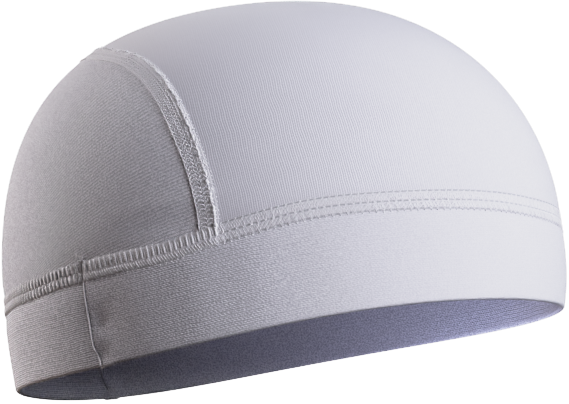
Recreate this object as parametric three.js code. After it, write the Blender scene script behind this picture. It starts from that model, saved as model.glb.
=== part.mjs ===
import * as THREE from 'three';
import { mergeVertices } from 'three/addons/utils/BufferGeometryUtils.js';

// Helmet liner cap in white stretch knit, in the form it has when worn
// Millimetres, +Z up, front towards -Y, the wearer's right side towards -X
// The origin is the spot inside the crown that rests on the top of the head

// Outside of the cap
const capLength = 210;
const capWidth = 165;
const capHeight = 122.5;

// Roundness of the crown, where 2 is an ellipse and more is squarer
const crownHeightPower = 2.4;
const crownWidthPower = 2.6;

// The top lies behind the middle, and the back half is wider than the front half
const topShift = 10;
const backWidening = 3.1;

// Below tuckHeight the cap draws in, by these lengths at the rim
const tuckHeight = 113;
const frontTuck = 15.3;
const backTuck = 1.3;
const sideTuck = 2.5;

// The rim rises and falls a little round the cap, in shares of rimWaveHeight
const rimWaveHeight = 0.85;
const rimWaves = [
  { waves: 2, share: -1 },
  { waves: 3, share: 1 },
  { waves: 4, share: 0.6 },
];

// Walls: one layer of knit in the crown, a folded double layer in the band
const crownWall = 1.2;
const bandWall = 2.2;

// Clear space left between neighbouring pieces
const pieceGap = 0.3;

// Band: height from the rim to the lower edge of its seam, at the ears
const bandHeight = 33.3;
const bandHeights = [
  { turn: 0, share: 0.81 },
  { turn: 27, share: 0.828 },
  { turn: 38, share: 0.852 },
  { turn: 51, share: 0.86 },
  { turn: 63, share: 0.852 },
  { turn: 74, share: 0.915 },
  { turn: 92, share: 0.988 },
  { turn: 110, share: 0.958 },
  { turn: 130, share: 0.91 },
  { turn: 152, share: 0.835 },
  { turn: 180, share: 0.8 },
  { turn: 208, share: 0.835 },
];

// The band's two lengths meet behind each ear, at this turn from the back, in degrees
const closingTurn = 43.5;

// Band seam: a flat strip with two soft rows, drawn as shares of its width and thickness
const bandSeamWidth = 6.8;
const bandSeamThickness = 1;
const bandSeamSection = [
  { up: 0, proud: 0.35 },
  { up: 0.14, proud: 0.95 },
  { up: 0.34, proud: 1 },
  { up: 0.5, proud: 0.7 },
  { up: 0.66, proud: 1 },
  { up: 0.86, proud: 0.95 },
  { up: 1, proud: 0.35 },
];

// Arch seam: a strip with a round ridge along its front edge
const archSeamWidth = 7.2;
const archSeamThickness = 1.4;
const archSeamSection = [
  { forward: 0, proud: 0.3 },
  { forward: 0.12, proud: 0.55 },
  { forward: 0.66, proud: 0.6 },
  { forward: 0.78, proud: 1 },
  { forward: 0.93, proud: 1 },
  { forward: 1, proud: 0.35 },
];

// Route of the arch seam: how far behind the top it lies, from the middle (0) to the foot (1),
// in shares of the way from the top down to the rim
const archRoute = [
  { out: 0, behind: 0.244 },
  { out: 0.25, behind: 0.239 },
  { out: 0.42, behind: 0.213 },
  { out: 0.58, behind: 0.201 },
  { out: 0.75, behind: 0.206 },
  { out: 0.88, behind: 0.2165 },
  { out: 0.96, behind: 0.233 },
  { out: 1, behind: 0.246 },
];

// Soft dents on both sides: a crease above the band seam behind the arch seam's foot,
// a pucker in the band beside its closing seam, and a slight fullness over the forehead
// turn and turnSpan in degrees, height and heightSpan as shares of bandHeight,
// depth as a share of dentDepth
const dentDepth = 0.9;
const softDents = [
  { turn: 65, turnSpan: 9, height: 1.22, heightSpan: 0.14, depth: 1 },
  { turn: 48.5, turnSpan: 4, height: 0.45, heightSpan: 0.3, depth: 1 },
  { turn: 180, turnSpan: 34, height: 0.25, heightSpan: 0.42, depth: -1 },
];

// The band seam lies in a shallow groove that its tight threads pull into the cloth
const seamGrooveDepth = 0.8;
const seamGrooveSpan = 5.5;

// How finely the pieces are drawn, the step that slopes are measured over on the map,
// and the rounds that it takes to find the arch seam's foot
const panelColumns = 36;
const frontPanelRows = 14;
const backPanelRows = 10;
const bandSeamColumns = 72;
const frontBandColumns = 44;
const backBandColumns = 16;
const foldSteps = 3;
const nudge = 0.002;
const footRounds = 12;

const knitColour = 0xe2e0e6;
const bandColour = 0xe0dfe6;
const seamColour = 0xd8d6db;
const knitRoughness = 0.85;
const seamRoughness = 0.9;

const radians = THREE.MathUtils.degToRad;
const halfLength = capLength / 2;
const halfWidth = capWidth / 2;
const quarterTurn = Math.PI / 2;
const seatHeight = capHeight - crownWall;

// A smooth line through one column of a table, read against another column
function smoothColumn(rows, along, value) {
  const places = rows.map((row) => row[along]);
  const values = rows.map((row) => row[value]);
  const line = new THREE.CubicInterpolant(places, values, 1, new Array(1));
  line.settings = {
    endingStart: THREE.ZeroSlopeEnding,
    endingEnd: THREE.ZeroSlopeEnding,
  };
  return (place) => line.evaluate(place)[0];
}

const bandShare = smoothColumn(bandHeights, 'turn', 'share');
const archBehind = smoothColumn(archRoute, 'out', 'behind');

// Height of the middle of the band seam above the rim, at a turn from the back
function bandSeamHeight(turn) {
  const degrees = THREE.MathUtils.radToDeg(Math.acos(Math.cos(turn)));
  return bandHeight * bandShare(degrees) + bandSeamWidth / 2;
}

// Spread is 0 at the top of the crown and 1 at the rim
function spreadAtHeight(height) {
  return 1 - Math.asin(height / capHeight) / quarterTurn;
}

function heightAtSpread(spread) {
  return capHeight * Math.sin((1 - spread) * quarterTurn);
}

// A place on the flat map of the cap: the top is its centre and the rim is its unit circle
function placeAt(turn, spread) {
  return new THREE.Vector2(spread * Math.sin(turn), spread * Math.cos(turn));
}

function dentAt(turn, height) {
  const fromSeam = (height - bandSeamHeight(turn)) / seamGrooveSpan;
  let depth = seamGrooveDepth * Math.exp(-fromSeam * fromSeam);
  for (const dent of softDents) {
    const aside = (Math.abs(turn) - radians(dent.turn)) / radians(dent.turnSpan);
    const above = (height / bandHeight - dent.height) / dent.heightSpan;
    depth += dentDepth * dent.depth * Math.exp(-aside * aside - above * above);
  }
  return depth;
}

// The outside of the cap at a place on its map, without the dents
function outsideAt(place) {
  const spread = place.length();
  const turn = Math.atan2(place.x, place.y);
  const toBack = Math.cos(turn);
  const height = heightAtSpread(spread);
  const rise = Math.max(0, height / capHeight);
  const round = Math.pow(Math.max(0, 1 - Math.pow(rise, crownHeightPower)), 1 / crownWidthPower);
  const low = Math.pow(Math.max(0, 1 - height / tuckHeight), 2);
  const endTuck = toBack > 0 ? backTuck : frontTuck;
  const endShare = toBack * toBack * endTuck / halfLength;
  const sideShare = (1 - toBack * toBack) * sideTuck / halfWidth;
  const reach = round * (1 - low * (endShare + sideShare));
  let wave = 0;
  for (const row of rimWaves) {
    wave += rimWaveHeight * row.share * Math.cos(row.waves * turn);
  }
  return new THREE.Vector3(
    (halfWidth + backWidening * toBack) * reach * Math.sin(turn),
    halfLength * reach * toBack + topShift * (rise * rise - 1),
    height + wave * Math.pow(spread, 3) - seatHeight,
  );
}

function outwardAt(place) {
  const across = outsideAt(new THREE.Vector2(place.x + nudge, place.y));
  across.sub(outsideAt(new THREE.Vector2(place.x - nudge, place.y)));
  const along = outsideAt(new THREE.Vector2(place.x, place.y + nudge));
  along.sub(outsideAt(new THREE.Vector2(place.x, place.y - nudge)));
  return across.cross(along).normalize();
}

// A point at a depth inside the cap's outside, or proud of it where the depth is negative
function wallPoint(place, depth) {
  const turn = Math.atan2(place.x, place.y);
  const dent = dentAt(turn, heightAtSpread(place.length()));
  return outsideAt(place).addScaledVector(outwardAt(place), -depth - dent);
}

// A closed wall from two sheets of points, side 1 outside and side -1 inside,
// joined round their edges; a wall that wraps has no first and last column
function closedWall(columns, rows, wraps, pointAt) {
  const positions = [];
  const columnCount = wraps ? columns : columns + 1;
  for (const side of [1, -1]) {
    for (let column = 0; column < columnCount; column += 1) {
      for (let row = 0; row <= rows; row += 1) {
        positions.push(...pointAt(column / columns, row / rows, side).toArray());
      }
    }
  }
  const sheetSize = columnCount * (rows + 1);
  const corner = (column, row, side) => {
    const start = side === 1 ? 0 : sheetSize;
    return start + (column % columnCount) * (rows + 1) + row;
  };
  const faces = [];
  const addFace = (a, b, c, d) => faces.push(a, b, c, a, c, d);
  for (let column = 0; column < columns; column += 1) {
    const next = column + 1;
    for (let row = 0; row < rows; row += 1) {
      const down = row + 1;
      for (const side of [1, -1]) {
        const first = side === 1 ? column : next;
        const second = side === 1 ? next : column;
        addFace(
          corner(first, row, side), corner(second, row, side),
          corner(second, down, side), corner(first, down, side),
        );
      }
    }
    addFace(corner(column, 0, 1), corner(column, 0, -1), corner(next, 0, -1), corner(next, 0, 1));
    addFace(corner(column, rows, 1), corner(next, rows, 1), corner(next, rows, -1), corner(column, rows, -1));
  }
  if (!wraps) {
    for (let row = 0; row < rows; row += 1) {
      const down = row + 1;
      const last = columns;
      addFace(corner(0, row, 1), corner(0, down, 1), corner(0, down, -1), corner(0, row, -1));
      addFace(corner(last, row, 1), corner(last, row, -1), corner(last, down, -1), corner(last, down, 1));
    }
  }
  return tidySolid(positions, faces);
}

// Merges shared corners, drops faces with no area and turns the faces outwards
function tidySolid(positions, faces) {
  const loose = new THREE.BufferGeometry();
  loose.setAttribute('position', new THREE.Float32BufferAttribute(positions, 3));
  loose.setIndex(faces);
  const merged = mergeVertices(loose, 1e-3);
  const index = Array.from(merged.index.array);
  const spots = merged.attributes.position;
  const kept = [];
  let volume = 0;
  for (let at = 0; at < index.length; at += 3) {
    const [a, b, c] = index.slice(at, at + 3);
    if (a !== b && b !== c && c !== a) {
      kept.push(a, b, c);
      const first = new THREE.Vector3().fromBufferAttribute(spots, a);
      const second = new THREE.Vector3().fromBufferAttribute(spots, b);
      const third = new THREE.Vector3().fromBufferAttribute(spots, c);
      volume += first.dot(second.cross(third));
    }
  }
  if (volume < 0) {
    kept.reverse();
  }
  merged.setIndex(kept);
  merged.computeVertexNormals();
  return merged;
}

function addPiece(group, name, geometry, color, roughness) {
  const material = new THREE.MeshStandardMaterial({ color, roughness, metalness: 0 });
  const mesh = new THREE.Mesh(geometry, material);
  mesh.name = name;
  group.add(mesh);
}

// How many millimetres one map unit towards the back covers at a place
function backStretch(place) {
  const behind = outsideAt(new THREE.Vector2(place.x, place.y + nudge));
  const ahead = outsideAt(new THREE.Vector2(place.x, place.y - nudge));
  return behind.distanceTo(ahead) / (2 * nudge);
}

// How far out the foot of a line beside the arch seam lies, where it meets a line above the band seam
function archFoot(backOffset, above) {
  const foot = new THREE.Vector2(spreadAtHeight(bandHeight), archBehind(1));
  const behind = foot.y + backOffset / backStretch(foot);
  for (let round = 0; round < footRounds; round += 1) {
    const turn = Math.atan2(foot.x, behind);
    const spread = spreadAtHeight(bandSeamHeight(turn) + above);
    foot.x = Math.sqrt(spread * spread - behind * behind);
  }
  return foot.x;
}

// A place on a line beside the arch seam: out runs from -1 to 1, foot to foot,
// backOffset is how far behind the seam's middle it lies, above how far over the band seam's
function archPlace(out, backOffset, above) {
  const middle = new THREE.Vector2(out * archFoot(0, above), archBehind(Math.abs(out)));
  const across = out * archFoot(backOffset, above);
  return new THREE.Vector2(across, middle.y + backOffset / backStretch(middle));
}

// A crown panel spans the map between the arch seam and the band seam;
// behind is 1 for the back panel and -1 for the front panel
function crownPanel(behind, rows) {
  const edge = pieceGap / 2;
  const foot = archPlace(1, behind * edge, edge);
  const halfTurn = Math.atan2(foot.x, behind * foot.y);
  const pointAt = (column, row, side) => {
    const out = 2 * column - 1;
    const top = archPlace(out, behind * edge, edge);
    const fromMiddle = out * halfTurn;
    const turn = behind === 1 ? fromMiddle : Math.PI - fromMiddle;
    const bottom = placeAt(turn, spreadAtHeight(bandSeamHeight(turn) + edge));
    return wallPoint(top.lerp(bottom, row), side === 1 ? 0 : crownWall);
  };
  return closedWall(panelColumns, rows, false, pointAt);
}

// A length of the band from one turn to another, with its folded edge along the rim
function bandLength(startTurn, endTurn, columns) {
  const foldRadius = bandWall / 2;
  const wallRows = [1, 0.5, 0];
  const foldRows = [];
  for (let step = 1; step <= foldSteps; step += 1) {
    foldRows.push(step / foldSteps * quarterTurn);
  }
  const rows = wallRows.length + foldRows.length - 1;
  const pointAt = (column, row, side) => {
    const turn = THREE.MathUtils.lerp(startTurn, endTurn, column);
    const topHeight = bandSeamHeight(turn) - pieceGap / 2;
    const step = Math.round(row * rows);
    const onWall = step < wallRows.length;
    const bend = onWall ? 0 : foldRows[step - wallRows.length];
    const share = onWall ? wallRows[step] : 0;
    const fold = foldRadius * (1 - Math.sin(bend));
    const height = fold + share * (topHeight - foldRadius);
    const depth = foldRadius * (1 - side * Math.cos(bend));
    return wallPoint(placeAt(turn, spreadAtHeight(height)), depth);
  };
  return closedWall(columns, rows, false, pointAt);
}

// The band seam: a ring that lies on the crown's lower edge and the band's upper edge
function bandSeamRing() {
  const rows = bandSeamSection.length - 1;
  const pointAt = (column, row, side) => {
    const turn = column * 2 * Math.PI - Math.PI;
    const point = bandSeamSection[Math.round(row * rows)];
    const height = bandSeamHeight(turn) + (point.up - 0.5) * bandSeamWidth;
    const proud = side === 1 ? point.proud * bandSeamThickness : 0;
    return wallPoint(placeAt(turn, spreadAtHeight(height)), -pieceGap - proud);
  };
  return closedWall(bandSeamColumns, rows, true, pointAt);
}

// The arch seam: a strip over both crown panels that stops short of the band seam
function archSeamStrip() {
  const rows = archSeamSection.length - 1;
  const above = bandSeamWidth / 2 + pieceGap;
  const pointAt = (column, row, side) => {
    const point = archSeamSection[Math.round(row * rows)];
    const backOffset = (0.5 - point.forward) * archSeamWidth;
    const place = archPlace(2 * column - 1, backOffset, above);
    const proud = side === 1 ? point.proud * archSeamThickness : 0;
    return wallPoint(place, -pieceGap - proud);
  };
  return closedWall(panelColumns, rows, false, pointAt);
}

const closing = radians(closingTurn);
const closingGap = pieceGap / 2 / halfWidth;
const fullTurn = 2 * Math.PI;

const cap = new THREE.Group();
addPiece(cap, 'crown_front', crownPanel(-1, frontPanelRows), knitColour, knitRoughness);
addPiece(cap, 'crown_back', crownPanel(1, backPanelRows), knitColour, knitRoughness);
addPiece(cap, 'arch_seam', archSeamStrip(), seamColour, seamRoughness);
addPiece(cap, 'band_seam', bandSeamRing(), seamColour, seamRoughness);
addPiece(
  cap, 'band_front',
  bandLength(closing + closingGap, fullTurn - closing - closingGap, frontBandColumns),
  bandColour, knitRoughness,
);
addPiece(
  cap, 'band_back',
  bandLength(closingGap - closing, closing - closingGap, backBandColumns),
  bandColour, knitRoughness,
);

export default cap;
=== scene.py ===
import math

import bpy
import numpy as np
from mathutils import Matrix, Vector


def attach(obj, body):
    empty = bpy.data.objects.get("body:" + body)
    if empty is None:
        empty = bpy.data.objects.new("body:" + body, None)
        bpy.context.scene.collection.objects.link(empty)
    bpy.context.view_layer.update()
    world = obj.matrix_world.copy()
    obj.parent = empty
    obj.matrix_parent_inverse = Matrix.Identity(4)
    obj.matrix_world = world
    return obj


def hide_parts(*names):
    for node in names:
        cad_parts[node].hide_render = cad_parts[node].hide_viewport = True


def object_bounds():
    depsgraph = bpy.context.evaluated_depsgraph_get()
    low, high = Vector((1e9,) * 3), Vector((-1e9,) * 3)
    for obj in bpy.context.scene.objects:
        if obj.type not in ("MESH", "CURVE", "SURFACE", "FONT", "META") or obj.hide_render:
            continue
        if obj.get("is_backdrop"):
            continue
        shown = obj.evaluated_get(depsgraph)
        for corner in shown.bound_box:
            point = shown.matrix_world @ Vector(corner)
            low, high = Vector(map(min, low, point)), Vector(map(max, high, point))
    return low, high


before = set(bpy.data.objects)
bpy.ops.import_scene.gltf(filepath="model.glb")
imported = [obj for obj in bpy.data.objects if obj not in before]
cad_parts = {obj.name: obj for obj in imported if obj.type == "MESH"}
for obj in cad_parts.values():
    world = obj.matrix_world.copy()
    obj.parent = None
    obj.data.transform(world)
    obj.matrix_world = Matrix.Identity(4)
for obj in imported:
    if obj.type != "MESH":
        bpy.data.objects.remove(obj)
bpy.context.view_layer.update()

# Helmet liner cap in white stretch knit, in the form it has when worn.
# Shapes are worked out in millimetres, +Z up, front towards -Y, and become metres in add_mesh.
MM = 0.001

# Outside of the cap, as in the part's source
CAP_LENGTH = 210.0
CAP_WIDTH = 165.0
CAP_HEIGHT = 122.5
CROWN_HEIGHT_POWER = 2.4
CROWN_WIDTH_POWER = 2.6
TOP_SHIFT = 10.0
BACK_WIDENING = 3.1
TUCK_HEIGHT = 113.0
FRONT_TUCK = 15.3
BACK_TUCK = 1.3
SIDE_TUCK = 2.5
RIM_WAVE_HEIGHT = 0.85
RIM_WAVES = ((2, -1.0), (3, 1.0), (4, 0.6))
CROWN_WALL = 1.2
BAND_WALL = 2.2
BAND_HEIGHT = 33.3
BAND_HEIGHTS = (
    (0, 0.81), (27, 0.828), (38, 0.852), (51, 0.86), (63, 0.852), (74, 0.915),
    (92, 0.988), (110, 0.958), (130, 0.91), (152, 0.835), (180, 0.8), (208, 0.835),
)
CLOSING_TURN = 43.5
BAND_SEAM_WIDTH = 6.8
ARCH_SEAM_WIDTH = 7.2
ARCH_ROUTE = (
    (0, 0.244), (0.25, 0.239), (0.42, 0.213), (0.58, 0.201),
    (0.75, 0.206), (0.88, 0.2165), (0.96, 0.233), (1, 0.246),
)
DENT_DEPTH = 0.9
# turn, turn span in degrees, height, height span in shares of the band's height, depth
SOFT_DENTS = ((65, 9, 1.22, 0.14, 1.0), (48.5, 4, 0.45, 0.3, 1.0), (180, 34, 0.25, 0.42, -1.0))
SEAM_GROOVE_DEPTH = 0.8
SEAM_GROOVE_SPAN = 5.5
NUDGE = 0.002
FOOT_ROUNDS = 12

# Seams: the length of a stitch at the back and at the front, and the space left between pieces.
# The band seam's two rows meet at ROW_SPLIT above its lower edge, and in the thick part behind
# the closing seams at ROW_SPLIT_ROPE; they run from SEAM_FOOT up to SEAM_TOP.
BACK_STITCH = 2.0
FRONT_STITCH = 2.45
EDGE_GAP = 0.05
ROW_SPLIT = 2.75
ROW_SPLIT_ROPE = 3.25
SEAM_TOP = 6.5
SEAM_FOOT = 0.05

HALF_LENGTH = CAP_LENGTH / 2
HALF_WIDTH = CAP_WIDTH / 2
QUARTER_TURN = math.pi / 2
SEAT_HEIGHT = CAP_HEIGHT - CROWN_WALL


# Shape of the cap


def smooth_column(rows):
    places = np.array([row[0] for row in rows], float)
    values = np.array([row[1] for row in rows], float)
    secants = np.diff(values) / np.diff(places)
    slopes = np.zeros(len(places))
    slopes[1:-1] = (secants[:-1] + secants[1:]) / 2
    slopes[-1] = secants[-1] / 2

    def line(place):
        place = np.clip(np.asarray(place, float), places[0], places[-1])
        at = np.clip(np.searchsorted(places, place, side="right") - 1, 0, len(places) - 2)
        span = places[at + 1] - places[at]
        t = (place - places[at]) / span
        return (
            (2 * t**3 - 3 * t**2 + 1) * values[at]
            + (t**3 - 2 * t**2 + t) * span * slopes[at]
            + (3 * t**2 - 2 * t**3) * values[at + 1]
            + (t**3 - t**2) * span * slopes[at + 1]
        )

    return line


band_share = smooth_column(BAND_HEIGHTS)
arch_behind = smooth_column(ARCH_ROUTE)


def band_seam_height(turn):
    degrees = np.degrees(np.arccos(np.cos(turn)))
    return BAND_HEIGHT * band_share(degrees) + BAND_SEAM_WIDTH / 2


def spread_at_height(height):
    return 1 - np.arcsin(np.asarray(height, float) / CAP_HEIGHT) / QUARTER_TURN


def height_at_spread(spread):
    return CAP_HEIGHT * np.sin((1 - spread) * QUARTER_TURN)


def outside_at(across, behind):
    """A point of the outside; across and behind are shares of the way from the top to the rim."""
    spread = np.hypot(across, behind)
    turn = np.arctan2(across, behind)
    to_back = np.cos(turn)
    height = height_at_spread(spread)
    rise = np.maximum(0, height / CAP_HEIGHT)
    fullness = np.maximum(0, 1 - rise**CROWN_HEIGHT_POWER) ** (1 / CROWN_WIDTH_POWER)
    low = np.maximum(0, 1 - height / TUCK_HEIGHT) ** 2
    end_tuck = np.where(to_back > 0, BACK_TUCK, FRONT_TUCK)
    end_share = to_back**2 * end_tuck / HALF_LENGTH
    side_share = (1 - to_back**2) * SIDE_TUCK / HALF_WIDTH
    reach = fullness * (1 - low * (end_share + side_share))
    wave = sum(RIM_WAVE_HEIGHT * share * np.cos(waves * turn) for waves, share in RIM_WAVES)
    return np.stack(
        [
            (HALF_WIDTH + BACK_WIDENING * to_back) * reach * np.sin(turn),
            HALF_LENGTH * reach * to_back + TOP_SHIFT * (rise**2 - 1),
            height + wave * spread**3 - SEAT_HEIGHT,
        ],
        axis=-1,
    )


def outward_at(across, behind):
    one = outside_at(across + NUDGE, behind) - outside_at(across - NUDGE, behind)
    two = outside_at(across, behind + NUDGE) - outside_at(across, behind - NUDGE)
    normal = np.cross(one, two)
    return normal / np.linalg.norm(normal, axis=-1, keepdims=True)


def bump_at(value, middle, span):
    return np.exp(-(((value - middle) / span) ** 2))


def soft_step(value, low, high):
    t = np.clip((value - low) / (high - low), 0, 1)
    return t * t * (3 - 2 * t)


def fullness_at(turn):
    """1 where the band seam is a raised double cord at the back, 0 where it lies flat at the front."""
    return 1 - soft_step(np.degrees(np.abs(turn)), 72, 75.5)


def dent_at(turn, height):
    side = np.degrees(np.abs(turn))
    level = height / BAND_HEIGHT
    groove = SEAM_GROOVE_DEPTH * (1 - 0.6 * soft_step(side, 66, 86))
    depth = groove * bump_at(height, band_seam_height(turn), SEAM_GROOVE_SPAN)
    for dent_turn, turn_span, dent_height, height_span, share in SOFT_DENTS:
        depth = depth + DENT_DEPTH * share * bump_at(side, dent_turn, turn_span) * bump_at(
            level, dent_height, height_span
        )
    return depth


def wall_point(across, behind, depth):
    """A point in the wall, depth in from the outside, with the dents taken along."""
    across, behind = np.broadcast_arrays(np.asarray(across, float), np.asarray(behind, float))
    turn = np.arctan2(across, behind)
    height = height_at_spread(np.hypot(across, behind))
    inward = np.asarray(depth, float) + dent_at(turn, height) + soft_relief(turn, height)
    return outside_at(across, behind) - outward_at(across, behind) * inward[..., None]


# Soft unevenness of worn cloth, on top of the dents: slow waves in the band, two hollows
# beside each closing seam and a light ridge over the crease behind the arch seam
def soft_relief(turn, height):
    side = np.degrees(np.abs(turn))
    level = height / BAND_HEIGHT
    band = np.clip(1.1 - level, 0, 1)
    waves = 0.1 * np.sin(turn * 23 + 1.3 * np.sin(turn * 5)) * bump_at(level, 0.55, 0.4)
    waves = waves * np.clip((110 - side) / 40, 0.25, 1)
    hollows = 0.9 * bump_at(side, 46, 1.8) * bump_at(height, 15, 3.6)
    hollows = hollows + 0.85 * bump_at(side, 45.6, 1.8) * bump_at(height, 4.2, 2.6)
    lift = -0.25 * bump_at(side, 46, 1.8) * bump_at(height, 9.6, 1.8)
    ridge = -0.4 * bump_at(side, 66, 8) * bump_at(level, 1.42, 0.07)
    return waves * np.minimum(1, band * 3) + hollows + lift + ridge


def back_stretch(across, behind):
    ahead = outside_at(across, behind - NUDGE)
    return np.linalg.norm(outside_at(across, behind + NUDGE) - ahead, axis=-1) / (2 * NUDGE)


def arch_foot(back_offset, above):
    start = spread_at_height(BAND_HEIGHT)
    behind = arch_behind(1) + np.asarray(back_offset, float) / back_stretch(start, arch_behind(1))
    foot = np.full(behind.shape, float(start))
    for _ in range(FOOT_ROUNDS):
        turn = np.arctan2(foot, behind)
        spread = spread_at_height(band_seam_height(turn) + above)
        foot = np.sqrt(spread**2 - behind**2)
    return foot


def arch_place(out, back_offset, above):
    out, back_offset = np.broadcast_arrays(np.asarray(out, float), np.asarray(back_offset, float))
    middle_across = out * arch_foot(0.0, above)
    middle_behind = arch_behind(np.abs(out))
    across = out * arch_foot(back_offset, above)
    return across, middle_behind + back_offset / back_stretch(middle_across, middle_behind)


def turn_place(turn, height):
    spread = spread_at_height(height)
    return spread * np.sin(turn), spread * np.cos(turn)


# Meshes


def add_mesh(name, points, faces, material, flat_faces=0, **attributes):
    """points in millimetres; faces is a list of index arrays, the last flat_faces groups shaded flat."""
    mesh = bpy.data.meshes.new(name)
    lists = [face for group in faces for face in group.tolist()]
    mesh.from_pydata((points * MM).tolist(), [], lists)
    smooth = np.concatenate(
        [np.full(len(group), at < len(faces) - flat_faces) for at, group in enumerate(faces)]
    )
    mesh.polygons.foreach_set("use_smooth", smooth)
    for key, values in attributes.items():
        layer = mesh.attributes.new(key, "FLOAT_VECTOR", "POINT")
        layer.data.foreach_set("vector", np.ascontiguousarray(values, np.float32).ravel())
    mesh.materials.append(material)
    mesh.update()
    piece = bpy.data.objects.new(name, mesh)
    bpy.context.scene.collection.objects.link(piece)
    return piece


def closed_shell(name, outer, inner, wraps, material, outer_knit, inner_knit):
    """A cloth wall from an outer and an inner sheet of points, each (columns, rows, 3)."""
    columns, rows = outer.shape[:2]
    inner_rows = inner.shape[1]
    start = columns * rows
    column = np.arange(columns if wraps else columns - 1)
    after = (column + 1) % columns

    def sheet_quads(first, count):
        row = np.arange(count - 1)
        a = first + column[:, None] * count + row
        b = first + after[:, None] * count + row
        return np.stack([a, b, b + 1, a + 1], -1).reshape(-1, 4)

    def edge_quads(outer_row, inner_row):
        a, b = column * rows + outer_row, after * rows + outer_row
        c, d = start + after * inner_rows + inner_row, start + column * inner_rows + inner_row
        return np.stack([a, b, c, d], -1)

    faces = [
        sheet_quads(0, rows),
        sheet_quads(start, inner_rows)[:, ::-1],
        edge_quads(0, 0)[:, ::-1],
        edge_quads(rows - 1, inner_rows - 1),
    ]
    flat_faces = 2
    if not wraps:
        row = np.arange(rows - 1)
        last = (columns - 1) * rows
        first_end = np.stack([row, row + 1, start + row + 1, start + row], -1)
        faces += [first_end, (first_end + last)[:, ::-1]]
        flat_faces = 4
    points = np.concatenate([outer.reshape(-1, 3), inner.reshape(-1, 3)])
    knit = np.concatenate([outer_knit.reshape(-1, 3), inner_knit.reshape(-1, 3)])
    if shell_volume(points, faces) < 0:
        faces = [group[:, ::-1] for group in faces]
    return add_mesh(name, points, faces, material, flat_faces, knit=knit)


def shell_volume(points, faces):
    """Six times the volume inside the faces, below zero where they face inwards."""
    total = 0.0
    for group in faces:
        a = points[group[:, 0]]
        for at in range(1, group.shape[1] - 1):
            b, c = points[group[:, at]], points[group[:, at + 1]]
            total += np.einsum("ij,ij->i", a, np.cross(b, c)).sum()
    return total


class Tubes:
    """Round threads, gathered into one mesh."""

    def __init__(self):
        self.points, self.faces, self.knit, self.count = [], [], [], 0

    def add(self, paths, outward, radii, sides=6):
        """paths and outward are (tubes, steps, 3), radii is (tubes, steps)."""
        tubes, steps = paths.shape[:2]
        if tubes == 0:
            return
        along = np.gradient(paths, axis=1)
        along /= np.linalg.norm(along, axis=-1, keepdims=True) + 1e-9
        beside = np.cross(along, outward)
        beside /= np.linalg.norm(beside, axis=-1, keepdims=True) + 1e-9
        over = np.cross(beside, along)
        angle = np.arange(sides) * 2 * math.pi / sides
        ring = (
            np.cos(angle)[:, None] * beside[:, :, None, :] + np.sin(angle)[:, None] * over[:, :, None, :]
        )
        points = paths[:, :, None, :] + radii[:, :, None, None] * ring
        step = np.linalg.norm(np.diff(paths, axis=1), axis=-1)
        length = np.concatenate([np.zeros((tubes, 1)), np.cumsum(step, axis=1)], axis=1)
        knit = np.zeros(points.shape)
        knit[..., 0] = length[:, :, None]
        knit[..., 1] = np.cos(angle)
        knit[..., 2] = np.sin(angle)
        tube = np.arange(tubes)[:, None, None] * steps * sides
        level = np.arange(steps - 1)[None, :, None] * sides
        side = np.arange(sides)[None, None, :]
        after = (side + 1) % sides
        a = tube + level + side
        b = tube + level + after
        quads = np.stack([a, b, b + sides, a + sides], -1).reshape(-1, 4) + self.count
        first = (tube[:, 0] + side[:, 0])[:, ::-1] + self.count
        last = (tube[:, 0] + (steps - 1) * sides + side[:, 0]) + self.count
        self.points.append(points.reshape(-1, 3))
        self.knit.append(knit.reshape(-1, 3))
        self.faces += [quads, first, last]
        self.count += tubes * steps * sides

    def mesh(self, name, material):
        points = np.concatenate(self.points)
        knit = np.concatenate(self.knit)
        return add_mesh(name, points, self.faces, material, knit=knit)


# Materials


class Nodes:
    """Short calls for building a node material."""

    def __init__(self, name):
        self.material = bpy.data.materials.new(name)
        self.material.use_nodes = True
        self.tree = self.material.node_tree
        self.shader = self.tree.nodes["Principled BSDF"]

    def make(self, kind, **values):
        node = self.tree.nodes.new(kind)
        for key, value in values.items():
            setattr(node, key, value)
        return node

    def put(self, socket, value):
        if isinstance(value, bpy.types.NodeSocket):
            self.tree.links.new(value, socket)
        else:
            socket.default_value = value

    def math(self, operation, *values):
        node = self.make("ShaderNodeMath", operation=operation)
        for at, value in enumerate(values):
            self.put(node.inputs[at], value)
        return node.outputs[0]

    def knit(self):
        node = self.make("ShaderNodeAttribute", attribute_name="knit")
        split = self.make("ShaderNodeSeparateXYZ")
        self.put(split.inputs[0], node.outputs["Vector"])
        return split.outputs[0], split.outputs[1], split.outputs[2]

    def vector(self, x, y, z):
        node = self.make("ShaderNodeCombineXYZ")
        for at, value in enumerate((x, y, z)):
            self.put(node.inputs[at], value)
        return node.outputs[0]

    def noise(self, vector, scale, detail=2.0, roughness=0.5):
        node = self.make("ShaderNodeTexNoise")
        self.put(node.inputs["Vector"], vector)
        self.put(node.inputs["Scale"], scale)
        self.put(node.inputs["Detail"], detail)
        self.put(node.inputs["Roughness"], roughness)
        return node.outputs[0]

    def colours(self, share, stops):
        node = self.make("ShaderNodeValToRGB")
        ramp = node.color_ramp
        ramp.interpolation = "LINEAR"
        while len(ramp.elements) < len(stops):
            ramp.elements.new(0.5)
        for element, (place, colour) in zip(ramp.elements, stops):
            element.position = place
            element.color = (*colour, 1)
        self.put(node.inputs[0], share)
        return node.outputs[0]

    def bump(self, height, distance):
        node = self.make("ShaderNodeBump")
        self.put(node.inputs["Height"], height)
        self.put(node.inputs["Distance"], distance)
        self.put(node.inputs["Strength"], 1.0)
        return node.outputs[0]


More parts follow.
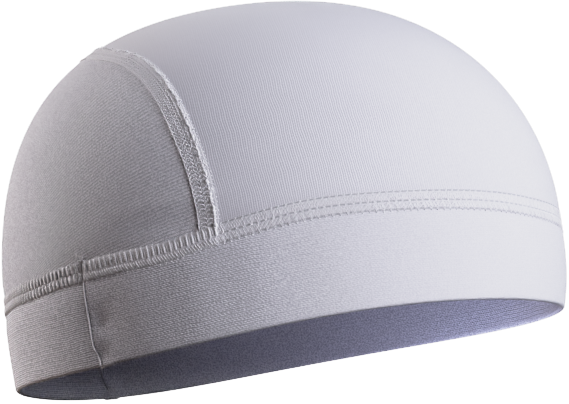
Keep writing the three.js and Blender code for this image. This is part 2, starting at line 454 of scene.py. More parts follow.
def knit_material(name, low, high, relief, shares, fibre_scale):
    """Fine knit. The attribute knit counts half columns across, rows along, and holds the contrast.
    shares are how much half columns, columns, rows and fibres show."""
    half_share, pair_share, loop_share, fibre_share = shares
    n = Nodes(name)
    halves, rows, contrast = n.knit()
    place = n.make("ShaderNodeTexCoord").outputs["Object"]
    # the columns waver a little, as stretched knit does
    waver = n.math("MULTIPLY", n.math("SUBTRACT", n.noise(place, 95.0, 3), 0.5), 2.2)
    column = n.math("ADD", halves, waver)
    half = n.math("SINE", n.math("MULTIPLY", column, 2 * math.pi))
    pair = n.math("SINE", n.math("MULTIPLY", column, math.pi))
    row = n.math("MULTIPLY_ADD", pair, 0.28, rows)
    loop = n.math("SINE", n.math("MULTIPLY", row, 2 * math.pi))
    fibres = n.math("SUBTRACT", n.noise(place, fibre_scale, 3, 0.65), 0.5)
    stitch = n.math("MULTIPLY_ADD", pair, pair_share, n.math("MULTIPLY", half, half_share))
    stitch = n.math("MULTIPLY_ADD", loop, loop_share, stitch)
    # soft patches where the cloth is tighter or looser
    patches = n.math("SUBTRACT", n.noise(place, 45.0, 2), 0.5)
    # the colour follows the bump's height, so besides the knit's own pattern the grooves carry painted
    # shade
    fine = n.math("MULTIPLY_ADD", fibres, fibre_share, n.math("MULTIPLY", stitch, 0.14))
    tone = n.math("MULTIPLY_ADD", fine, contrast, n.math("MULTIPLY_ADD", patches, 0.12, 0.5))
    n.put(n.shader.inputs["Base Color"], n.colours(tone, ((0.0, low), (1.0, high))))
    n.put(n.shader.inputs["Roughness"], n.math("MULTIPLY_ADD", fibres, 0.3, 0.8))
    # the bump is held back where the contrast is large, as a deep one would darken the cloth
    depth = n.math("MINIMUM", contrast, 1.5)
    height = n.math("MULTIPLY", n.math("MULTIPLY_ADD", fibres, 2.0, stitch), depth)
    n.put(n.shader.inputs["Normal"], n.bump(height, relief * MM))
    n.shader.inputs["Sheen Weight"].default_value = 0.12
    n.shader.inputs["Sheen Roughness"].default_value = 0.5
    n.shader.inputs["Specular IOR Level"].default_value = 0.25
    return n.material


def thread_material(name, low, high):
    """Twisted thread: along in millimetres, and the way round as a cosine and a sine."""
    n = Nodes(name)
    along, cosine, sine = n.knit()
    phase = n.math("MULTIPLY", along, 2 * math.pi / 0.7)
    twist = n.math(
        "ADD",
        n.math("MULTIPLY", n.math("SINE", phase), cosine),
        n.math("MULTIPLY", n.math("COSINE", phase), sine),
    )
    place = n.make("ShaderNodeTexCoord").outputs["Object"]
    lint = n.noise(place, 1800.0, 2)
    patches = n.noise(place, 260.0, 2)
    tone = n.math("ADD", n.math("MULTIPLY_ADD", twist, 0.16, 0.2), n.math("MULTIPLY", patches, 0.6))
    n.put(n.shader.inputs["Base Color"], n.colours(tone, ((0.2, low), (0.75, high))))
    n.put(n.shader.inputs["Roughness"], n.math("MULTIPLY_ADD", lint, 0.25, 0.5))
    height = n.math("MULTIPLY_ADD", lint, 0.4, twist)
    n.put(n.shader.inputs["Normal"], n.bump(height, 0.035 * MM))
    n.shader.inputs["Sheen Weight"].default_value = 0.15
    n.shader.inputs["Sheen Roughness"].default_value = 0.5
    n.shader.inputs["Specular IOR Level"].default_value = 0.35
    return n.material


def strip_material(name, low, high):
    """The cloth and threads under a seam's stitches: fine cross grain, with painted shade that darkens
    the hollows.
    Run and up in millimetres, and how light the strip is, with that painted shade."""
    n = Nodes(name)
    along, across, proud = n.knit()
    grain = n.noise(n.vector(n.math("MULTIPLY", along, 3.0), across, 0.0), 1.6, 3, 0.6)
    wave = n.math("SINE", n.math("MULTIPLY", along, 2 * math.pi / 0.43))
    threads = n.math("MULTIPLY_ADD", wave, 0.5, 0.5)
    tone = n.math("ADD", n.math("MULTIPLY", grain, 0.45), n.math("MULTIPLY", threads, 0.12))
    # the third value is painted shading: lighter where the strip stands proud, darker in its hollows
    tone = n.math("ADD", tone, n.math("MULTIPLY", proud, 0.43))
    n.put(n.shader.inputs["Base Color"], n.colours(tone, ((0.15, low), (0.75, high))))
    n.put(n.shader.inputs["Roughness"], n.math("MULTIPLY_ADD", grain, 0.2, 0.72))
    height = n.math("ADD", grain, n.math("MULTIPLY", threads, 0.5))
    n.put(n.shader.inputs["Normal"], n.bump(height, 0.12 * MM))
    n.shader.inputs["Sheen Weight"].default_value = 0.1
    n.shader.inputs["Specular IOR Level"].default_value = 0.25
    return n.material


KNIT_LOW, KNIT_HIGH = (0.57, 0.565, 0.585), (0.97, 0.965, 0.985)
KNIT_RELIEF = 0.05
crown_knit, crown_back_knit, band_knit, band_front_knit = (
    knit_material(name, KNIT_LOW, KNIT_HIGH, KNIT_RELIEF, shares, fibre_scale)
    for name, shares, fibre_scale in (
        ("crown_knit", (1.0, 0.35, 0.5, 1.3), 1500.0),
        ("crown_back_knit", (0.5, 0.95, 0.3, 2.6), 2500.0),
        ("band_knit", (1.0, 0.35, 0.5, 1.3), 1300.0),
        ("band_front_knit", (0.5, 0.3, 0.5, 3.0), 2100.0),
    )
)
seam_thread = thread_material("seam_thread", (0.86, 0.855, 0.86), (0.99, 0.985, 0.98))
seam_strip = strip_material("seam_strip", (0.4, 0.395, 0.4), (0.9, 0.895, 0.9))


# Knit directions: the pitch of half columns and rows in millimetres, and the mean radius that
# turns an angle into a length of cloth, for the crown and the band
CROWN_ROUND = 85
BAND_ROUND = 88.0
FRONT_HALF_COLUMN = 0.74
BACK_HALF_COLUMN = 0.65
CROWN_ROW = 0.62
BAND_ROW = 0.68
BAND_BRICK = 1.15


def knit_contrast(points, front, back):
    """The knit shows least where the cloth is stretched over the forehead and the top."""
    behind = np.clip((points[..., 1] + 75) / 170, 0, 1) ** 2
    return (front + (back - front) * behind) * (1 - 0.65 * soft_step(points[..., 2], -60, -5))


def front_knit(points):
    """Columns of loops run from ear to ear over the front panel."""
    x, y, z = points[..., 0], points[..., 1], points[..., 2]
    forward = np.clip(-y - 60, 0, None)
    across = y - 0.07 * z - forward**2 / 90
    along = CROWN_ROUND * np.arctan2(x, z + 90)
    contrast = knit_contrast(points, 0.42, 0.05)
    return np.stack([across / FRONT_HALF_COLUMN, along / CROWN_ROW, contrast], -1)


def back_knit(points):
    """Columns of loops run down the middle of the back and slant over the sides."""
    x, y, z = points[..., 0], points[..., 1] + 10, points[..., 2] + 90
    across = CROWN_ROUND * np.arctan2(x, 0.122 * y + 0.993 * z)
    along = -0.993 * y + 0.122 * z
    contrast = knit_contrast(points, 2.5, 7.0)
    return np.stack([across / BACK_HALF_COLUMN, along / CROWN_ROW, contrast], -1)


# Cloth pieces


def crown_panel(name, behind, columns, rows, knit_of, material):
    """behind is 1 for the panel behind the arch seam and -1 for the one ahead of it."""
    foot_across, foot_behind = arch_place(1.0, behind * EDGE_GAP, EDGE_GAP)
    half_turn = math.atan2(foot_across, behind * foot_behind)
    out = np.linspace(-1, 1, columns)
    top = np.stack(arch_place(out, behind * EDGE_GAP, EDGE_GAP), -1)
    turn = out * half_turn if behind == 1 else math.pi - out * half_turn
    bottom = np.stack(turn_place(turn, band_seam_height(turn) + EDGE_GAP), -1)
    row = np.linspace(0, 1, rows)[None, :, None]
    place = top[:, None] * (1 - row) + bottom[:, None] * row
    outer = wall_point(place[..., 0], place[..., 1], 0.0)
    inner = wall_point(place[..., 0], place[..., 1], CROWN_WALL)
    knit = knit_of(outer)
    return closed_shell(name, outer, inner, False, material, knit, knit)


def closing_shift(height):
    """The closing seam runs a little forward of straight towards its foot, in degrees."""
    t = np.clip((8 - height) / 7, 0, 1)
    return 1.1 * t * t * (3 - 2 * t)


def band_panel(name, start, end, columns, shift_signs, material):
    """A length of the band, its rim folded over; start and end in radians."""
    radius = BAND_WALL / 2
    bends = np.linspace(0, QUARTER_TURN, 7)[1:]
    share = np.linspace(1, 0, 34)
    fold = np.concatenate([np.full(share.shape, radius), radius * (1 - np.sin(bends))])
    share = np.concatenate([share, np.zeros(bends.shape)])
    swing = np.concatenate([np.ones(34), np.cos(bends)])
    column = np.linspace(0, 1, columns)[:, None]
    sheets = []
    for side in (1, -1):
        turn = start + (end - start) * column
        for _ in range(2):
            top = band_seam_height(turn) - EDGE_GAP
            height = fold + share * (top - radius)
            shift = np.radians(closing_shift(height))
            turn = start + shift_signs[0] * shift
            turn = turn + (end + shift_signs[1] * shift - turn) * column
        depth = radius * (1 - side * swing)
        # the rim drops a little just in front of the closing seam
        ahead = np.degrees(np.arccos(np.cos(turn))) - CLOSING_TURN
        drop = 0.45 * soft_step(ahead, 0, 0.3) * soft_step(-ahead, -4.6, -3.6) * soft_step(-height, -5, 0)
        height = height - drop
        # the ends roll in towards the closing seam
        from_end = np.minimum(turn - turn[:1], turn[-1:] - turn) * HALF_WIDTH
        roll = 0.12 * np.exp(-((from_end / 0.5) ** 2)) * side
        points = wall_point(*turn_place(turn, height), depth + roll)
        up = height * side - (0 if side == 1 else 2)
        around = turn * BAND_ROUND
        # the folded-in side isn't stretched as tight, so its knit shows more at the front
        contrast = knit_contrast(points, 0.25 if side == 1 else 2.0, 3.3)
        knit = np.stack([up / BAND_ROW, around / BAND_BRICK, contrast], -1)
        sheets.append((points, knit))
    (outer, outer_knit), (inner, inner_knit) = sheets
    return closed_shell(name, outer, inner, False, material, outer_knit, inner_knit)


closing = math.radians(CLOSING_TURN)
closing_gap = EDGE_GAP / HALF_WIDTH
crown_front = crown_panel("crown_front_cloth", -1, 300, 84, front_knit, crown_knit)
crown_back = crown_panel("crown_back_cloth", 1, 240, 70, back_knit, crown_back_knit)
band_front = band_panel(
    "band_front_cloth",
    closing + closing_gap,
    2 * math.pi - closing - closing_gap,
    420,
    (1, -1),
    band_front_knit,
)
band_back = band_panel(
    "band_back_cloth", closing_gap - closing, closing - closing_gap, 160, (-1, 1), band_knit
)


# Band seam


def length_line(points):
    step = np.linalg.norm(np.diff(points, axis=0), axis=-1)
    return np.concatenate([[0], np.cumsum(step)])


def rope_at(turn):
    """1 behind the closing seams, where the threads are thickest."""
    return 1 - soft_step(np.degrees(np.abs(turn)), CLOSING_TURN - 0.4, CLOSING_TURN + 0.4)


ring_turns = np.linspace(-math.pi, math.pi, 4001)
ring_lengths = length_line(wall_point(*turn_place(ring_turns, band_seam_height(ring_turns)), 0.0))
ring_pitch = FRONT_STITCH + (BACK_STITCH - FRONT_STITCH) * fullness_at(ring_turns)
ring_counts = np.concatenate(
    [[0], np.cumsum(np.diff(ring_lengths) * 2 / (ring_pitch[1:] + ring_pitch[:-1]))]
)
ring_stitches = int(round(ring_counts[-1]))
ring_counts = ring_counts * ring_stitches / ring_counts[-1]


def ring_run(count):
    return np.interp(np.mod(count, ring_stitches), ring_counts, ring_lengths)


def ring_turn(run):
    return np.interp(np.mod(run, ring_lengths[-1]), ring_lengths, ring_turns)


def row_split(rope):
    """Where the band seam's upper row meets its lower row, above its lower edge."""
    return ROW_SPLIT + (ROW_SPLIT_ROPE - ROW_SPLIT) * rope


def ring_relief(run, up):
    """How far the seam's strip stands proud of the cloth."""
    turn = ring_turn(run)
    phase = np.interp(np.mod(run, ring_lengths[-1]), ring_lengths, ring_counts)
    full = fullness_at(turn)
    rope = rope_at(turn)
    split = row_split(rope)
    upper = (up - split) / (SEAM_TOP - split)
    lower = (up - SEAM_FOOT) / (split - SEAM_FOOT)
    place = np.clip(np.where(up > split, upper, lower), 0, 1)
    profile = np.sqrt(np.maximum(0, 1 - (2 * place - 1) ** 2))
    between = bump_at(up, split, 0.7)
    profile = np.maximum(profile, (0.8 - 0.25 * rope) * between)
    proud = 0.06 + profile * (0.06 + 0.5 * full - 0.25 * rope)
    half = np.where(up > split, 0, math.pi) * rope
    proud = proud + profile * np.cos(2 * math.pi * phase + half) * (0.04 * full + 0.1 * rope)
    off_stitch = 0.5 - np.abs(np.mod(phase, 1) - 0.5)
    dash = soft_step(off_stitch, 0.1, 0.22)
    lines = bump_at(up, 0.3, 0.24) + bump_at(up, 3.2, 0.22) + bump_at(up, 6.45, 0.22)
    side = np.degrees(np.abs(turn))
    proud = proud - (1 - full) * (0.26 - 0.14 * soft_step(side, 105, 150)) * dash * lines
    slit = bump_at(side, CLOSING_TURN + 0.1, 0.3)
    return np.maximum(proud * (1 - 0.92 * slit), -0.02)


def ring_point(run, up, proud):
    turn = ring_turn(run)
    height = band_seam_height(turn) + up - BAND_SEAM_WIDTH / 2
    across, behind = turn_place(turn, height)
    return wall_point(across, behind, -proud), outward_at(across, behind)


def ring_strip():
    count = np.arange(ring_stitches * 9) / 9
    run = ring_run(count)[:, None]
    up = np.linspace(0, BAND_SEAM_WIDTH, 33)[None, :]
    relief = ring_relief(run, up)
    relief[:, 0] = relief[:, -1] = 0.03
    outer, _ = ring_point(run + 0 * up, up + 0 * run, relief + EDGE_GAP)
    inner_up = np.linspace(0, BAND_SEAM_WIDTH, 5)[None, :]
    inner, _ = ring_point(run + 0 * inner_up, inner_up + 0 * run, EDGE_GAP * 0.5 + 0 * (run + inner_up))
    turn = ring_turn(run)
    full, rope = fullness_at(turn), rope_at(turn)
    split = row_split(rope)
    low_share = 1 - np.clip((up - split) / (SEAM_TOP - split), 0, 1)
    # painted shading: the strip is darker where its relief is low, as in the dashes of the flat front
    # part, and painted darker at the back where it shows between the rungs, most in the upper row
    raised = 0.3 * relief + rope * 0.42 + (1 - rope) * (0.5 + 0.3 * low_share)
    painted_shading = (1 - full) * (0.78 + 7.0 * (relief - 0.09)) + full * raised
    outer_knit = np.stack(np.broadcast_arrays(run, up, painted_shading), -1)
    inner_knit = np.stack(np.broadcast_arrays(run, inner_up, 0.5), -1)
    return closed_shell("band_seam_strip", outer, inner, True, seam_strip, outer_knit, inner_knit)


def ring_threads(tubes, runs, ups, lift, radius, bow=0.0, taper=0.0):
    """Threads that cross the seam: runs and ups are (threads, 2) ends, lift in thread radii how
    far over the strip. bow bends them along the seam and taper makes the far end thicker."""
    t = np.linspace(0, 1, 8)[None, :]
    run = runs[:, :1] * (1 - t) + runs[:, 1:] * t + bow * np.sin(math.pi * t)
    up = ups[:, :1] * (1 - t) + ups[:, 1:] * t
    ends = np.abs(2 * t - 1) ** 4
    radii = radius[:, None] * (1 - 0.25 * ends) * (1 + taper * (t - 0.5))
    proud = ring_relief(run, np.clip(up, 0.15, BAND_SEAM_WIDTH - 0.15)) + lift[:, None] * radii
    paths, outward = ring_point(run, up, proud + EDGE_GAP - 0.35 * ends * (proud + 0.1))
    tubes.add(paths, outward, radii)


rng = np.random.default_rng(11)
stitches = np.arange(ring_stitches)
turn_of = ring_turn(ring_run(stitches))
full = fullness_at(turn_of)
rope = rope_at(turn_of)
keep = np.abs(np.degrees(np.abs(turn_of)) - CLOSING_TURN - 0.1) > 0.6


def jitter(size):
    return rng.normal(0, size, ring_stitches)


def pairs(first, second):
    return np.stack([first, second], -1)


upper_tubes = Tubes()
# upper row: one rung a stitch, with a lower thread between at the back
shift = ring_run(stitches) + jitter(0.06)
lean = 0.45 - 0.4 * full
ring_threads(
    upper_tubes,
    pairs(shift + lean, shift - lean)[keep],
    pairs(6.35 + jitter(0.1), row_split(rope) + 0.1 + jitter(0.08))[keep],
    (0.35 - full - 0.08 * rope)[keep],
    ((0.1 + 0.5 * full + 0.23 * rope) * (1 + jitter(0.08)))[keep],
    bow=-0.16,
    taper=0.4,
)
half_way = ring_run(stitches + 0.5)
between = keep & (full > 0.3) & (rope < 0.5)
ring_threads(
    upper_tubes,
    pairs(half_way + 0.1, half_way - 0.12)[between],
    pairs(5.7 + jitter(0.15), row_split(rope) + 0.2 + jitter(0.1))[between],
    np.full(ring_stitches, -0.1)[between],
    np.full(ring_stitches, 0.17)[between],
    bow=-0.12,
)
# slanted threads in the flat front part, three a stitch with the one above
for offset in (0.33, 0.66):
    thin = (full < 0.5) & (rng.random(ring_stitches) < 0.8)
    start_run = ring_run(stitches + offset) + jitter(0.08)
    ring_threads(
        upper_tubes,
        pairs(start_run + lean, start_run - lean)[thin],
        pairs(6.2 + jitter(0.12), 3.4 + jitter(0.1))[thin],
        np.full(ring_stitches, 0.2)[thin],
        (0.09 * (1 + jitter(0.1)))[thin],
    )
# lower row: slanted threads, thick ones half a stitch on from the rungs in the rope
lower_tubes = Tubes()
for offset, share in ((0.5, 1.0), (0.0, 0.45), (0.25, 0.0)):
    shown = keep if share else keep & (full < 0.5) & (rng.random(ring_stitches) < 0.7)
    slant = 0.5 + 0.15 * full - 0.35 * rope
    start_run = ring_run(stitches + offset) + jitter(0.07)
    ring_threads(
        lower_tubes,
        pairs(start_run + slant, start_run - slant)[shown],
        pairs(row_split(rope) - 0.1 + jitter(0.08), 0.15 + jitter(0.1))[shown],
        (0.4 - 0.25 * full - 0.75 * rope)[shown],
        ((0.1 + 0.08 * full + 0.55 * rope * share**2) * (1 + jitter(0.09)))[shown],
        bow=0.1,
    )
# short bits where the threads dive into the cloth along both edges and the middle
edge_tubes = Tubes()
t = np.linspace(-1, 1, 5)[None, :]
for place, reach, radius, height in (
    (-0.3, 0.3, 0.17, 0.14), (6.75, 0.25, 0.13, 0.08), (3.25, 0.25, 0.14, 0.14),
):
    middle = ring_run(stitches) + jitter(0.06) - 0.1 * np.sign(place - 3.3)
    run = middle[:, None] + reach * t
    level = (place + jitter(0.05))[:, None] + 0.14 * t
    radii = (np.full(ring_stitches, radius) * (1 + jitter(0.1)))[:, None] * (1 - 0.45 * t**2)
    shown = keep & (full < 0.9) if place == 3.25 else keep
    paths, outward = ring_point(run, level, height * (1 - t**2) + EDGE_GAP + 0 * run)
    edge_tubes.add(paths[shown], outward[shown], radii[shown])
# beside each closing seam: loose thread ends behind it and a small lump above it
for sign in (-1, 1):
    closing_run = float(np.interp(sign * math.radians(CLOSING_TURN), ring_turns, ring_lengths))
    for nearest, farthest, low_up, high_up, count, size in (
        (0.5, 4.6, 0.2, 6.4, 26, 0.12), (-1.3, 1.3, 6.7, 8.8, 16, 0.2),
    ):
        behind_by = rng.uniform(nearest, farthest, (count, 1))
        run = closing_run - sign * behind_by + rng.normal(0, 0.45, (count, 1)) * t
        level = rng.uniform(low_up, high_up, (count, 1)) + rng.normal(0, 0.5, (count, 1)) * t
        on_seam = ring_relief(run, np.clip(level, 0.15, BAND_SEAM_WIDTH - 0.15))
        over = on_seam if high_up < BAND_SEAM_WIDTH else 0.1
        radii = size * rng.uniform(0.7, 1.3, (count, 1)) * (1 - 0.4 * t**2)
        paths, outward = ring_point(run, level, over + 0.25 * (1 - t**2) + EDGE_GAP)
        edge_tubes.add(paths, outward, radii)

ring_base = ring_strip()
upper_threads = upper_tubes.mesh("band_seam_upper_threads", seam_thread)
lower_threads = lower_tubes.mesh("band_seam_lower_threads", seam_thread)
edge_threads = edge_tubes.mesh("band_seam_edge_threads", seam_thread)


# Arch seam
ARCH_ABOVE = 1.6
arch_outs = np.linspace(-1, 1, 3001)
arch_lengths = length_line(wall_point(*arch_place(arch_outs, 0.0, ARCH_ABOVE), 0.0))
ARCH_LENGTH = arch_lengths[-1]


def from_foot(run):
    """Distance along the seam from its nearer foot."""
    return ARCH_LENGTH / 2 - np.abs(run - ARCH_LENGTH / 2)


def arch_point(run, forward, proud):
    """forward in millimetres from the seam's back edge, run from one foot to the other."""
    out = np.interp(run, arch_lengths, arch_outs)
    across, behind = arch_place(out, ARCH_SEAM_WIDTH / 2 - forward, ARCH_ABOVE)
    return wall_point(across, behind, -proud), outward_at(across, behind)


def arch_relief(forward):
    rise = np.minimum(1, np.minimum(forward, ARCH_SEAM_WIDTH - forward) / 0.6)
    return 0.05 + 0.14 * np.sqrt(np.maximum(0, rise)) + 0.14 * bump_at(forward, 5.3, 0.8)


def arch_strip():
    run = np.linspace(0, ARCH_LENGTH, int(ARCH_LENGTH / 0.6))[:, None]
    forward = np.linspace(0, ARCH_SEAM_WIDTH, 26)[None, :]
    relief = arch_relief(forward) + 0 * run
    relief[:, 0] = relief[:, -1] = 0.03
    outer, _ = arch_point(run + 0 * forward, forward + 0 * run, relief + EDGE_GAP)
    inner, _ = arch_point(run + 0 * forward, forward + 0 * run, EDGE_GAP * 0.5 + 0 * (run + forward))
    # painted shading: lighter on the rise before the cord, where the strip stands proudest, as painted
    # light against the cord's shade; it also grows lighter towards the top of the arch than at its feet
    painted_shading = 0.42 + 0.62 * soft_step(from_foot(run), 8, 70) + 0.2 * soft_step(forward, 4, 5.2)
    outer_knit = np.stack(np.broadcast_arrays(run, forward, painted_shading), -1)
    inner_knit = np.stack(np.broadcast_arrays(run, forward, 0.5), -1)
    return closed_shell("arch_seam_strip", outer, inner, False, seam_strip, outer_knit, inner_knit)


def slow_wander(size, step):
    """A smooth irregular line along the arch seam."""
    knots = np.arange(0, ARCH_LENGTH + 2 * step, step)
    values = rng.normal(0, size, len(knots))
    return lambda run: np.interp(run, knots, values)


arch_base = arch_strip()
# Stitches along the arch, closer together higher up
arch_fine = np.arange(0, ARCH_LENGTH, 0.05)
arch_pitch = 1.5 - 0.37 * soft_step(from_foot(arch_fine), 38, 52)
arch_counts = np.cumsum(0.05 / arch_pitch)


def arch_run(count):
    return np.interp(count, arch_counts, arch_fine)


arch_stitches = np.arange(1, int(arch_counts[-1]))
arch_at = arch_run(arch_stitches)
away = from_foot(arch_at)
# the way that lies up the seam, away from the nearer foot
upward = np.where(arch_at < ARCH_LENGTH / 2, 1.0, -1.0)


def arch_jitter(size):
    return rng.normal(0, size, len(arch_stitches))


cord_tubes = Tubes()
cord_side = slow_wander(0.17, 1.2)
cord_swell = slow_wander(0.09, 0.7)


def arch_line(forward, proud, radius, sides, step):
    run = np.arange(0.2, ARCH_LENGTH - 0.2, step)
    paths, outward = arch_point(run, forward(run), proud(run) + EDGE_GAP)
    cord_tubes.add(paths[None], outward[None], radius(run)[None], sides)


def cord_radius(run):
    foot = 1 - soft_step(from_foot(run), 8, 16)
    beads = np.abs(np.cos(math.pi * np.interp(run, arch_fine, arch_counts)))
    high = soft_step(from_foot(run), 55, 85)
    return 0.43 + 0.1 * foot - 0.2 * high + (0.06 + 0.2 * foot) * (beads - 0.6) + cord_swell(run)


def cord_middle(run):
    return 5.65 + 0.5 * soft_step(from_foot(run), 20, 60) + cord_side(run)


# lumpy cord along the front edge, and a thin line along the back edge
arch_line(
    cord_middle,
    lambda run: 0.16 - 0.12 * soft_step(from_foot(run), 55, 95) + 0.5 * cord_swell(run),
    cord_radius,
    10,
    0.25,
)
arch_line(
    lambda run: 0.12 + 0.05 * np.sin(run * 1.7),
    lambda run: 0.2 + 0.05 * np.abs(np.sin(math.pi * run / 1.5)),
    lambda run: 0.18 + 0.06 * np.abs(np.sin(math.pi * run / 1.5)),
    6,
    0.35,
)
# knots and loose turns of thread all along the cord
t = np.linspace(-1, 1, 5)[None, :]
count = int(ARCH_LENGTH * 3.2)
middle = rng.uniform(1, ARCH_LENGTH - 1, (count, 1))
high = soft_step(from_foot(middle), 55, 90)
run = middle + rng.normal(0, 0.35, (count, 1)) * t
forward = cord_middle(middle) + rng.normal(0.05, 0.4, (count, 1))
forward = forward + rng.normal(0, 0.35, (count, 1)) * t
radii = (0.23 - 0.08 * high) * rng.uniform(0.45, 1.2, (count, 1)) * (1 - 0.5 * t**2)
proud = 0.26 + rng.uniform(0, 0.25, (count, 1)) * (1 - t**2)
paths, outward = arch_point(run, forward, proud + EDGE_GAP)
cord_tubes.add(paths, outward, radii)
cord = cord_tubes.mesh("arch_seam_cord", seam_thread)

loop_tubes = Tubes()


def arch_tubes(run, forward, proud, radius, shown, sides=5):
    run, forward, proud, radius = np.broadcast_arrays(run, forward, proud, radius)
    paths, outward = arch_point(run[shown], forward[shown], proud[shown] + EDGE_GAP)
    loop_tubes.add(paths, outward, radius[shown], sides)


# two rows of open loops near the feet, doubled
angle = np.linspace(-1.75, 1.75, 9)[None, :]
for place, half, offset in ((1.75, 1.25, 0.0), (4.3, 1.2, 0.45)):
    for inset in (0.0, 0.42):
        middle = arch_run(arch_stitches + offset) + arch_jitter(0.07)
        run = middle[:, None] + upward[:, None] * (0.75 - inset) * (np.cos(angle) - 0.2)
        forward = place + half * np.sin(angle * 0.9) + arch_jitter(0.07)[:, None]
        proud = 0.3 + 0.08 * np.cos(angle) - 0.12 * (np.abs(angle) / 1.75) ** 4
        shown = away < 22 + 8 * rng.random(len(away))
        arch_tubes(run, forward, proud, 0.17 - 0.1 * inset, shown)
# a net of wavy lines in the middle length
for place, half_step in ((0.95, 0.0), (2.1, 0.5), (3.3, 0.0), (4.5, 0.5), (5.4, 0.0)):
    t = np.linspace(0, 1, 7)[None, :]
    run = arch_run(arch_stitches[:, None] + half_step + t)
    forward = place + 0.42 * np.sin(2 * math.pi * (t + 2 * half_step * 0.25)) + 0 * run
    proud = 0.26 + 0.05 * np.sin(2 * math.pi * t)
    shown = (away > 13 + 6 * rng.random(len(away))) & (away < 62 + 10 * rng.random(len(away)))
    arch_tubes(run, forward, proud, 0.12, shown)
# beads where the net's lines cross
t = np.linspace(-1, 1, 4)[None, :]
for row, place in enumerate((0.5, 1.55, 2.6, 3.65, 4.6)):
    middle = arch_run(arch_stitches + 0.5 * (row % 2)) + arch_jitter(0.1)
    turned = rng.uniform(0, 2 * math.pi, (len(arch_stitches), 1))
    run = middle[:, None] + 0.22 * np.cos(turned) * t
    forward = place + arch_jitter(0.1)[:, None] + 0.22 * np.sin(turned) * t
    shown = (away > 9) & (away < 70 + 14 * rng.random(len(away))) & (rng.random(len(away)) < 0.85)
    arch_tubes(run, forward, 0.4 - 0.12 * t**2, 0.2 - 0.08 * t**2, shown, 6)
# a ladder of cross threads in three rows higher up, the third fainter
for low_end, high_end in ((0.25, 2.05), (2.5, 3.9), (4.3, 5.3)):
    t = np.linspace(0, 1, 7)[None, :]
    middle = arch_run(arch_stitches + 0.3 * (low_end > 1)) + arch_jitter(0.05)
    run = middle[:, None] + upward[:, None] * (0.3 * (1 - t) + 0.1 * np.sin(math.pi * t))
    forward = low_end + (high_end - low_end) * t
    proud = 0.22 + 0.06 * np.sin(math.pi * t)
    flat = (1 - 0.5 * soft_step(away, 60, 95))[:, None]
    arch_tubes(run, forward, proud * flat, 0.14, away > 34 + 8 * rng.random(len(away)))
# needle stitches in the front panel, just ahead of the cord
t = np.linspace(-1, 1, 5)[None, :]
run = (arch_at + arch_jitter(0.05))[:, None] + 0.27 * t
forward = 7.4 + 0.1 * t + arch_jitter(0.08)[:, None]
arch_tubes(run, forward, 0.12 - 0.2 * t**2, 0.17 - 0.07 * t**2, away < 75, 6)
arch_loops = loop_tubes.mesh("arch_seam_loops", seam_thread)


# Closing seams: a thin fold line down the band behind each ear, outside and inside
closing_tubes = Tubes()
for sign in (-1, 1):
    for outside in (True, False):
        top = float(band_seam_height(closing)) - (BAND_SEAM_WIDTH / 2 - 0.4 if outside else 0.3)
        height = np.linspace(top, 0.5, 70)
        turn = sign * (closing + np.radians(closing_shift(height)))
        across, behind = turn_place(turn, height)
        wobble = 0.04 * np.sin(height * 2.1)
        depth = wobble * 0.5 - 0.07 if outside else BAND_WALL + wobble * 0.5 + 0.2
        points = wall_point(across, behind, depth + 0 * height)
        normal = outward_at(across, behind) * (1 if outside else -1)
        radius = (0.19 if outside else 0.3) + 0.03 * np.sin(height * 1.3)
        closing_tubes.add(points[None], normal[None], radius[None], 8)
closing_lines = closing_tubes.mesh("band_closing_lines", seam_thread)

# Frame: what each piece rides on and stands for, with a finish given for each
for piece, node, finish in (
    (crown_front, "crown_front", "crown_knit"),
    (crown_back, "crown_back", "crown_knit"),
    (band_front, "band_front", "band_knit"),
    (band_back, "band_back", "band_knit"),
    (ring_base, "band_seam", "seam_thread"),
    (arch_base, "arch_seam", "seam_thread"),
    (upper_threads, None, "seam_thread"),
    (lower_threads, None, "seam_thread"),
    (edge_threads, None, "seam_thread"),
    (cord, None, "seam_thread"),
    (arch_loops, None, "seam_thread"),
    (closing_lines, None, "band_knit"),
):
    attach(piece, "root")
    if node:
        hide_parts(node)

# Floor
floor_mesh = bpy.data.meshes.new("floor")
half, under = 6.0, -1.3
floor_mesh.from_pydata(
    [(-half, -half, under), (half, -half, under), (half, half, under), (-half, half, under)],
    [],
    [(0, 1, 2, 3)],
)
floor_nodes = Nodes("floor_paint")
floor_place = floor_nodes.make("ShaderNodeTexCoord").outputs["Object"]
floor_tone = floor_nodes.noise(floor_place, 3.0, 2)
floor_colour = floor_nodes.colours(floor_tone, ((0.3, (0.8, 0.8, 0.81)), (0.7, (0.84, 0.84, 0.85))))
floor_nodes.put(floor_nodes.shader.inputs["Base Color"], floor_colour)
# the lamps stand too close to reach the floor, so it shows its own pale colour and lights nothing
floor_nodes.put(floor_nodes.shader.inputs["Emission Color"], floor_colour)
floor_nodes.shader.inputs["Emission Strength"].default_value = 2.2
floor_nodes.shader.inputs["Roughness"].default_value = 0.9
floor_mesh.materials.append(floor_nodes.material)
floor = bpy.data.objects.new("floor", floor_mesh)
floor.visible_diffuse = False
floor.visible_glossy = False
bpy.context.scene.collection.objects.link(floor)
floor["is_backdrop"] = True

# Camera: level with the ears, a little below the rim, from the wearer's right
AZIMUTH = math.radians(266)
ELEVATION = math.radians(-8.595)
ROLL = math.radians(9.412)
DISTANCE = 1030.0
PIXELS_PER_MM = 2.8312
IMAGE_WIDTH = 569
back = Vector(
    (
        math.sin(AZIMUTH) * math.cos(ELEVATION),
        -math.cos(AZIMUTH) * math.cos(ELEVATION),
        math.sin(ELEVATION),
    )
)
level = Vector((math.cos(AZIMUTH), math.sin(AZIMUTH), 0))
upright = back.cross(level)
right = math.cos(ROLL) * level - math.sin(ROLL) * upright
up = math.sin(ROLL) * level + math.cos(ROLL) * upright
target = Vector((0, -10, -71.3))
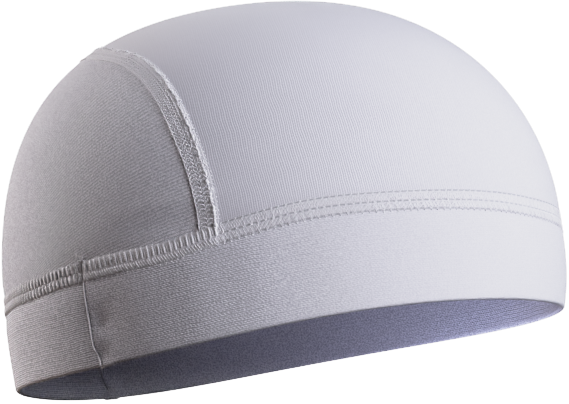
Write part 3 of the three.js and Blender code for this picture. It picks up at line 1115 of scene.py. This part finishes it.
spot = target + back * DISTANCE - right * (2.233 / PIXELS_PER_MM) + up * (7.129 / PIXELS_PER_MM)
camera_data = bpy.data.cameras.new("camera")
camera_data.sensor_width = 36
camera_data.lens = PIXELS_PER_MM * DISTANCE * camera_data.sensor_width / IMAGE_WIDTH
camera_data.clip_start = 0.01
camera = bpy.data.objects.new("camera", camera_data)
axes = Matrix((right, up, back)).transposed().to_4x4()
camera.matrix_world = Matrix.Translation(spot * MM) @ axes
bpy.context.scene.collection.objects.link(camera)
bpy.context.scene.camera = camera

# Lights round the cap, each aimed at its middle: azimuth, elevation, brightness, colour
LIGHT_DISTANCE = 1.4
LIGHT_SIZE = 0.7
LIGHTS = (
    ("back_high", 150, 35, 0.0565, (0.97, 0.95, 1.0)),
    ("back_low", 135, -18, 0.0101, (1.0, 0.82, 0.66)),
    ("back", 165, 8, 0.0128, (1.0, 0.78, 0.78)),
    ("camera_side", 300, 8, 0.0108, (1.0, 0.9, 0.95)),
    ("front_near", 320, 8, 0.0305, (0.9, 0.89, 1.0)),
    ("front", 335, 8, 0.0475, (0.8, 0.84, 1.0)),
)
CENTRE = Vector((0, -0.005, -0.065))


def add_lamp(name, spot, toward, size, spread, energy, colour):
    data = bpy.data.lights.new(name, "AREA")
    data.shape = "DISK"
    data.size = size
    data.spread = math.radians(spread)
    data.energy = energy
    data.color = colour
    lamp = bpy.data.objects.new(name, data)
    lamp.matrix_world = Matrix.Translation(spot) @ (-toward).to_track_quat("Z", "Y").to_matrix().to_4x4()
    lamp.visible_camera = False
    bpy.context.scene.collection.objects.link(lamp)


for name, azimuth, elevation, brightness, colour in LIGHTS:
    a, e = math.radians(azimuth), math.radians(elevation)
    way = Vector((math.sin(a) * math.cos(e), -math.cos(a) * math.cos(e), math.sin(e)))
    energy = brightness * math.pi**2 * LIGHT_DISTANCE**2 / 0.8
    add_lamp(name, CENTRE + way * LIGHT_DISTANCE, -way, LIGHT_SIZE, 40, energy, colour)
# two small lamps under the rim, for the bluish light inside the cap
for name, spot, toward, energy, colour in (
    ("inside", (0, -0.04, -0.18), (0.6, -0.5, 0.6), 0.0299, (0.67, 0.67, 1.0)),
    ("inside_front", (0.02, -0.07, -0.16), (0.6, -0.6, 0.5), 0.0122, (0.57, 0.63, 1.0)),
):
    add_lamp(name, Vector(spot), Vector(toward), 0.04, 150, energy, colour)

# White all round for the camera, and only a little light from it
world = bpy.data.worlds.new("studio")
world.use_nodes = True
bpy.context.scene.world = world
tree = world.node_tree
tree.nodes.clear()
seen = tree.nodes.new("ShaderNodeBackground")
seen.inputs[0].default_value = (1, 1, 1, 1)
seen.inputs[1].default_value = 4.0
dim = tree.nodes.new("ShaderNodeBackground")
dim.inputs[0].default_value = (0.95, 0.96, 1, 1)
dim.inputs[1].default_value = 0.004
ray = tree.nodes.new("ShaderNodeLightPath")
mix = tree.nodes.new("ShaderNodeMixShader")
out = tree.nodes.new("ShaderNodeOutputWorld")
tree.links.new(ray.outputs["Is Camera Ray"], mix.inputs[0])
tree.links.new(dim.outputs[0], mix.inputs[1])
tree.links.new(seen.outputs[0], mix.inputs[2])
tree.links.new(mix.outputs[0], out.inputs[0])

view = bpy.context.scene.view_settings
view.view_transform = "Standard"
view.look = "None"
# bright cloth is held back from plain white, as in a photograph
TONE_CURVE = ((0, 0), (0.3, 0.3), (0.6, 0.59), (0.9, 0.77), (1.4, 0.853), (2.2, 0.93), (3.2, 1.0))
view.use_curve_mapping = True
tone = view.curve_mapping
tone.clip_max_x = TONE_CURVE[-1][0]
line = tone.curves[3]
line.points[0].location = TONE_CURVE[0]
line.points[1].location = TONE_CURVE[-1]
for place in TONE_CURVE[1:-1]:
    line.points.new(*place)
tone.update()

low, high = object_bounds()
